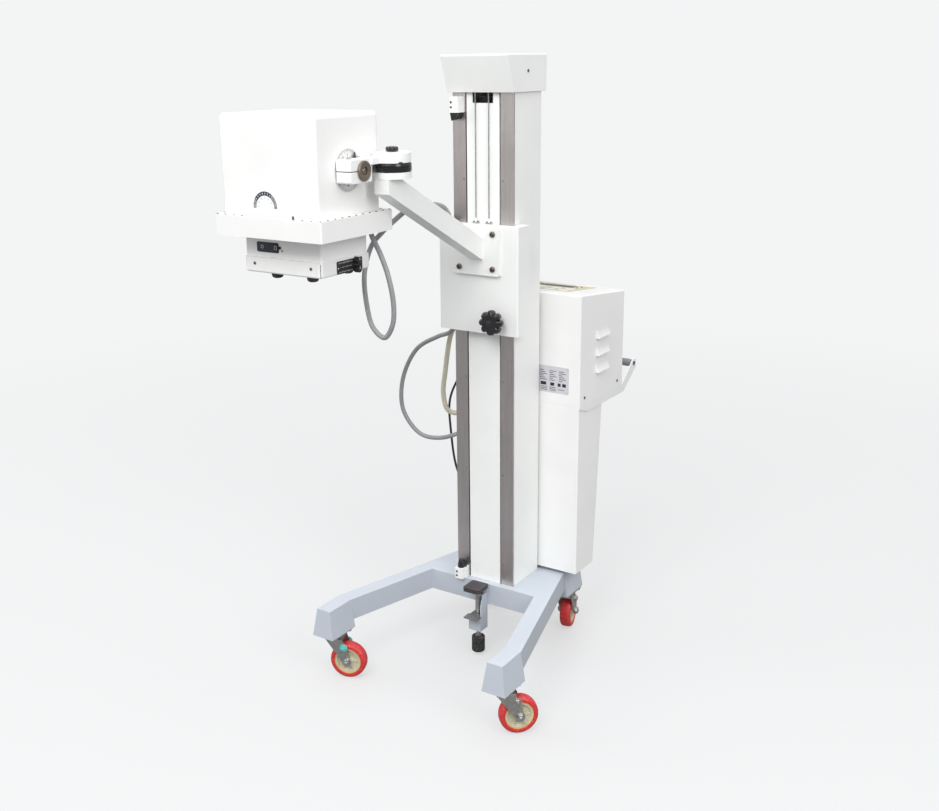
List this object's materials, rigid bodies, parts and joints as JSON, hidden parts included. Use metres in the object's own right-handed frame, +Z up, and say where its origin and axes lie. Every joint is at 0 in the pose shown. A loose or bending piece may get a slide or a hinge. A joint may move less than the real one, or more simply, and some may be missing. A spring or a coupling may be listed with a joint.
{
  "type": "mobile x-ray stand",
  "caption": "Mobile X-ray stand: counterbalanced column with lifting carriage, swivel arm, tilting tube head and collimator on a splayed caster base.",
  "frame": {"origin": "on the floor at the middle of the footprint of the whole unit", "axes": "+X to the unit's right seen from the front, +Y to the rear (the push handle side), +Z up"},
  "size_m": [0.6726, 1.109, 1.624],
  "materials": {
    "white_paint": "smooth semi-gloss powder coat",
    "base_paint": "semi-gloss powder coat",
    "rail_steel": "ground along its length",
    "zinc_steel": "bright zinc plate",
    "screw_steel": "bright nickel plate",
    "wire_rope": "stranded",
    "black_plastic": "glossy moulding",
    "black_rubber": "matt",
    "cast_iron": "painted casting",
    "sheave_steel": "turned",
    "console_membrane": "fine-textured membrane",
    "grip_sleeve": "satin sleeve",
    "grey_cable": "satin PVC sheath",
    "beige_conduit": "ribbed conduit",
    "nylon": "machined",
    "roller_steel": "ground",
    "bronze": "turned face",
    "tube_glass": "clear borosilicate",
    "cast_resin": "cast block",
    "shutter_metal": "dull plate",
    "switch_plastic": "moulded key",
    "wheel_red": "cast polyurethane on a cream hub"
  },
  "bodies": {
    "stand": {"base_frame": "base_paint", "caster_plates": "zinc_steel", "column_shell": "white_paint", "column_panel": "white_paint", "guide_rails": "rail_steel", "column_cap": "white_paint", "pulley_bracket": "zinc_steel", "wire_ropes": "wire_rope", "stop_blocks": "white_paint", "stop_buffers": "black_rubber", "stand_screws": "screw_steel", "control_box": "white_paint", "console_panel": "console_membrane", "power_transformer": "cast_iron", "lower_cabinet": "white_paint", "handle_frame": "white_paint", "handle_grip": "grip_sleeve", "floor_lock_bracket": "base_paint", "carriage_cable": "grey_cable", "spiral_conduit": "beige_conduit"},
    "pulley": {"rope_pulley": "sheave_steel"},
    "counterweight": {"counterweight": "cast_iron"},
    "carriage": {"carriage_cover": "white_paint", "carriage_frame": "zinc_steel", "keeper_shoes": "nylon", "arm": "white_paint", "arm_bolts": "screw_steel", "friction_ring": "black_plastic", "head_cable": "grey_cable"},
    "upper_rollers": {"upper_rollers": "roller_steel"},
    "lower_rollers": {"lower_rollers": "roller_steel"},
    "lift_lock_knob": {"lift_lock_knob": "black_plastic"},
    "swivel": {"swivel_yoke": "white_paint"},
    "pan_lock_knob": {"pan_lock_knob": "black_plastic"},
    "head": {"trunnion_shaft": "bronze", "head_housing": "white_paint", "head_skirt": "white_paint", "skirt_screws": "screw_steel", "xray_tube": "tube_glass", "high_voltage_block": "cast_resin", "collimator_body": "white_paint", "collimator_cover": "white_paint"},
    "upper_field_knob": {"upper_field_knob": "black_plastic"},
    "lower_field_knob": {"lower_field_knob": "black_plastic"},
    "left_leaf": {"left_leaf": "shutter_metal"},
    "right_leaf": {"right_leaf": "shutter_metal"},
    "front_leaf": {"front_leaf": "shutter_metal"},
    "rear_leaf": {"rear_leaf": "shutter_metal"},
    "lamp_switch": {"lamp_switch": "switch_plastic"},
    "floor_lock": {"lock_spindle": "black_plastic", "lock_foot": "black_rubber"},
    "release_lever": {"release_lever": "zinc_steel"},
    "caster_front_left": {"caster_fork_front_left": "zinc_steel"},
    "wheel_front_left": {"caster_wheel_front_left": "wheel_red"},
    "caster_front_right": {"caster_fork_front_right": "zinc_steel"},
    "wheel_front_right": {"caster_wheel_front_right": "wheel_red"},
    "caster_rear_left": {"caster_fork_rear_left": "zinc_steel"},
    "wheel_rear_left": {"caster_wheel_rear_left": "wheel_red"},
    "caster_rear_right": {"caster_fork_rear_right": "zinc_steel"},
    "wheel_rear_right": {"caster_wheel_rear_right": "wheel_red"}
  },
  "joints": [
    {"name": "lift", "type": "slide", "parent": "stand", "child": "carriage", "axis": [0, 0, 1], "range_m": [-0.65, 0.25], "deforming": ["wire_ropes", "carriage_cable", "spiral_conduit"]},
    {"name": "counterweight_slide", "type": "slide", "parent": "stand", "child": "counterweight", "axis": [0, 0, 1], "range_m": [-0.25, 0.65]},
    {"name": "pulley_spin", "type": "hinge", "parent": "stand", "child": "pulley", "pos_m": [0.00068, 0.0885, 1.562], "axis": [1, 0, 0], "range_deg": [-411, 1066]},
    {"name": "upper_roller_spin", "type": "hinge", "parent": "carriage", "child": "upper_rollers", "pos_m": [0.00068, 0.04745, 1.16], "axis": [1, 0, 0], "range_deg": [-1304, 3387]},
    {"name": "lower_roller_spin", "type": "hinge", "parent": "carriage", "child": "lower_rollers", "pos_m": [0.00068, 0.04745, 1.008], "axis": [1, 0, 0], "range_deg": [-1304, 3387]},
    {"name": "lift_lock", "type": "hinge", "parent": "carriage", "child": "lift_lock_knob", "pos_m": [0.05768, 0.0225, 0.965], "axis": [0, -1, 0], "range_deg": [0, 270]},
    {"name": "head_pan", "type": "hinge", "parent": "carriage", "child": "swivel", "pos_m": [0.00068, -0.3275, 1.4], "axis": [0, 0, 1], "range_deg": [0, 150], "deforming": ["head_cable"]},
    {"name": "pan_lock", "type": "hinge", "parent": "swivel", "child": "pan_lock_knob", "pos_m": [0.00068, -0.3275, 1.43], "axis": [0, 0, 1], "range_deg": [0, 270]},
    {"name": "head_tilt", "type": "hinge", "parent": "swivel", "child": "head", "pos_m": [-0.02932, -0.4255, 1.381], "axis": [1, 0, 0], "range_deg": [-90, 12]},
    {"name": "left_leaf_slide", "type": "slide", "parent": "head", "child": "left_leaf", "axis": [1, 0, 0], "range_m": [-0.02, 0.02]},
    {"name": "right_leaf_slide", "type": "slide", "parent": "head", "child": "right_leaf", "axis": [1, 0, 0], "range_m": [-0.02, 0.02]},
    {"name": "upper_field", "type": "hinge", "parent": "head", "child": "upper_field_knob", "pos_m": [-0.07432, -0.3795, 1.173], "axis": [1, 0, 0], "range_deg": [-80, 80]},
    {"name": "front_leaf_slide", "type": "slide", "parent": "head", "child": "front_leaf", "axis": [0, 1, 0], "range_m": [-0.014, 0.014]},
    {"name": "rear_leaf_slide", "type": "slide", "parent": "head", "child": "rear_leaf", "axis": [0, 1, 0], "range_m": [-0.014, 0.014]},
    {"name": "lower_field", "type": "hinge", "parent": "head", "child": "lower_field_knob", "pos_m": [-0.07432, -0.3795, 1.1525], "axis": [1, 0, 0], "range_deg": [-80, 80]},
    {"name": "lamp_press", "type": "slide", "parent": "head", "child": "lamp_switch", "axis": [0, 1, 0], "range_m": [0, 0.002], "stiffness_N_per_m": 400},
    {"name": "lock_press", "type": "slide", "parent": "stand", "child": "floor_lock", "axis": [0, 0, 1], "range_m": [-0.009, 0], "stiffness_N_per_m": 800},
    {"name": "lock_release", "type": "hinge", "parent": "stand", "child": "release_lever", "pos_m": [0.00068, 0.0305, 0.123], "axis": [-1, 0, 0], "range_deg": [0, 10]},
    {"name": "caster_swivel_front_left", "type": "hinge", "parent": "stand", "child": "caster_front_left", "pos_m": [-0.26532, -0.2835, 0.12], "axis": [0, 0, 1], "continuous": true},
    {"name": "wheel_spin_front_left", "type": "hinge", "parent": "caster_front_left", "child": "wheel_front_left", "pos_m": [-0.23149, -0.27119, 0.05], "axis": [-0.342, 0.9397, 0], "continuous": true},
    {"name": "caster_swivel_front_right", "type": "hinge", "parent": "stand", "child": "caster_front_right", "pos_m": [0.26668, -0.2835, 0.12], "axis": [0, 0, 1], "continuous": true},
    {"name": "wheel_spin_front_right", "type": "hinge", "parent": "caster_front_right", "child": "wheel_front_right", "pos_m": [0.29214, -0.25804, 0.05], "axis": [-0.7071, 0.7071, 0], "continuous": true},
    {"name": "caster_swivel_rear_left", "type": "hinge", "parent": "stand", "child": "caster_rear_left", "pos_m": [-0.14432, 0.2675, 0.12], "axis": [0, 0, 1], "continuous": true},
    {"name": "wheel_spin_rear_left", "type": "hinge", "parent": "caster_rear_left", "child": "wheel_rear_left", "pos_m": [-0.135, 0.30227, 0.05], "axis": [-0.9659, 0.2588, 0], "continuous": true},
    {"name": "caster_swivel_rear_right", "type": "hinge", "parent": "stand", "child": "caster_rear_right", "pos_m": [0.14568, 0.2675, 0.12], "axis": [0, 0, 1], "continuous": true},
    {"name": "wheel_spin_rear_right", "type": "hinge", "parent": "caster_rear_right", "child": "wheel_rear_right", "pos_m": [0.13636, 0.30227, 0.05], "axis": [-0.9659, -0.2588, 0], "continuous": true}
  ],
  "couplings": [
    {"joint": "counterweight_slide", "follows": "lift", "ratio": -1},
    {"joint": "pulley_spin", "follows": "lift", "rad_per_m": -28.571},
    {"joint": "upper_roller_spin", "follows": "lift", "rad_per_m": -90.909},
    {"joint": "lower_roller_spin", "follows": "lift", "rad_per_m": -90.909},
    {"joint": "right_leaf_slide", "follows": "left_leaf_slide", "ratio": -1},
    {"joint": "upper_field", "follows": "left_leaf_slide", "rad_per_m": -69.763},
    {"joint": "rear_leaf_slide", "follows": "front_leaf_slide", "ratio": -1},
    {"joint": "lower_field", "follows": "front_leaf_slide", "rad_per_m": -99.662}
  ]
}
